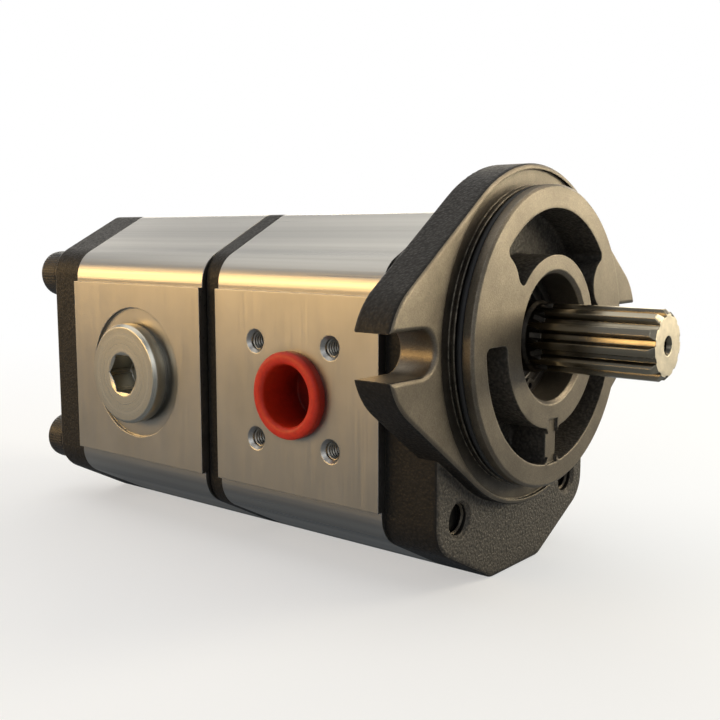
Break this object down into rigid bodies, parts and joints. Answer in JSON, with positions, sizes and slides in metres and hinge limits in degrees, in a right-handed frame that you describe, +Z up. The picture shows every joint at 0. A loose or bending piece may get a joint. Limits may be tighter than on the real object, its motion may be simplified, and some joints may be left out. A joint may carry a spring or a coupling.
{
  "type": "hydraulic gear pump",
  "caption": "Tandem hydraulic gear pump with a two-bolt pilot flange, splined drive shaft, extruded aluminium sections, cast covers and capped ports.",
  "frame": {"origin": "on the drive shaft axis in the mounting face, the front of the flange ears", "axes": "+X along the drive shaft towards its free end, +Z up from the driven gears to the drive shaft, -Y the suction side"},
  "size_m": [0.2193, 0.1312, 0.114],
  "materials": {
    "cast_black": "sand-cast iron, matt black phosphate, machined faces satin",
    "body_aluminium": "extruded, brushed lengthways, milled port pads",
    "block_aluminium": "machined bearing alloy",
    "bush_bronze": "sintered bronze liner",
    "shaft_steel": "ground and hobbed case-hardened steel",
    "gear_steel": "ground case-hardened steel",
    "bolt_black": "black oxide, worn bright at the rims",
    "spring_steel": "phosphated spring steel",
    "dowel_steel": "ground",
    "seal_rubber": "moulded nitrile, matt",
    "backup_plastic": "moulded, natural white",
    "seal_case": "pressed steel",
    "plug_zinc": "turned and zinc plated",
    "plug_washer": "soft sealing washer",
    "red_plastic": "moulded polyethylene, satin orange-red",
    "plate_silver": "brushed sheet, blank"
  },
  "bodies": {
    "housing": {"front_flange": "cast_black", "centre_plate": "cast_black", "rear_cover": "cast_black", "front_body": "body_aluminium", "rear_body": "body_aluminium", "front_block_flange_side": "block_aluminium", "front_block_plate_side": "block_aluminium", "rear_block_plate_side": "block_aluminium", "rear_block_cover_side": "block_aluminium", "front_bushings": "bush_bronze", "rear_bushings": "bush_bronze", "through_bolts": "bolt_black", "bolt_washers": "spring_steel", "seal_circlip": "spring_steel", "locating_dowels": "dowel_steel", "garter_spring": "dowel_steel", "flange_seal": "seal_rubber", "front_plate_seal": "seal_rubber", "rear_plate_seal": "seal_rubber", "cover_seal": "seal_rubber", "passage_seals": "seal_rubber", "front_balance_seals": "seal_rubber", "rear_balance_seals": "seal_rubber", "pilot_oring": "seal_rubber", "shaft_seal_lip": "seal_rubber", "front_backup_strips": "backup_plastic", "rear_backup_strips": "backup_plastic", "shaft_seal_case": "seal_case", "suction_plug": "plug_zinc", "suction_plug_washer": "plug_washer", "nameplate": "plate_silver"},
    "drive_train": {"drive_shaft": "shaft_steel", "coupling_shaft": "gear_steel"},
    "front_driven": {"front_driven_gear": "gear_steel"},
    "rear_drive": {"rear_drive_gear": "gear_steel"},
    "rear_driven": {"rear_driven_gear": "gear_steel"},
    "suction_transit_cap": {"suction_port_cap": "red_plastic"},
    "front_transit_cap": {"delivery_cap_front": "red_plastic"},
    "rear_transit_cap": {"delivery_cap_rear": "red_plastic"}
  },
  "joints": [
    {"name": "drive_shaft_spin", "type": "hinge", "parent": "housing", "child": "drive_train", "pos_m": [0, 0, 0], "axis": [1, 0, 0], "continuous": true},
    {"name": "front_driven_spin", "type": "hinge", "parent": "housing", "child": "front_driven", "pos_m": [0, 0, -0.033], "axis": [1, 0, 0], "continuous": true},
    {"name": "rear_drive_spin", "type": "hinge", "parent": "housing", "child": "rear_drive", "pos_m": [0, 0, 0], "axis": [1, 0, 0], "continuous": true},
    {"name": "rear_driven_spin", "type": "hinge", "parent": "housing", "child": "rear_driven", "pos_m": [0, 0, -0.033], "axis": [1, 0, 0], "continuous": true},
    {"name": "suction_cap_pull", "type": "slide", "parent": "housing", "child": "suction_transit_cap", "axis": [0, -1, 0], "range_m": [0, 0.02]},
    {"name": "front_cap_pull", "type": "slide", "parent": "housing", "child": "front_transit_cap", "axis": [0, 1, 0], "range_m": [0, 0.02]},
    {"name": "rear_cap_pull", "type": "slide", "parent": "housing", "child": "rear_transit_cap", "axis": [0, 1, 0], "range_m": [0, 0.02]}
  ],
  "couplings": [
    {"joint": "front_driven_spin", "follows": "drive_shaft_spin", "ratio": -1},
    {"joint": "rear_drive_spin", "follows": "drive_shaft_spin", "ratio": 1},
    {"joint": "rear_driven_spin", "follows": "drive_shaft_spin", "ratio": -1}
  ]
}
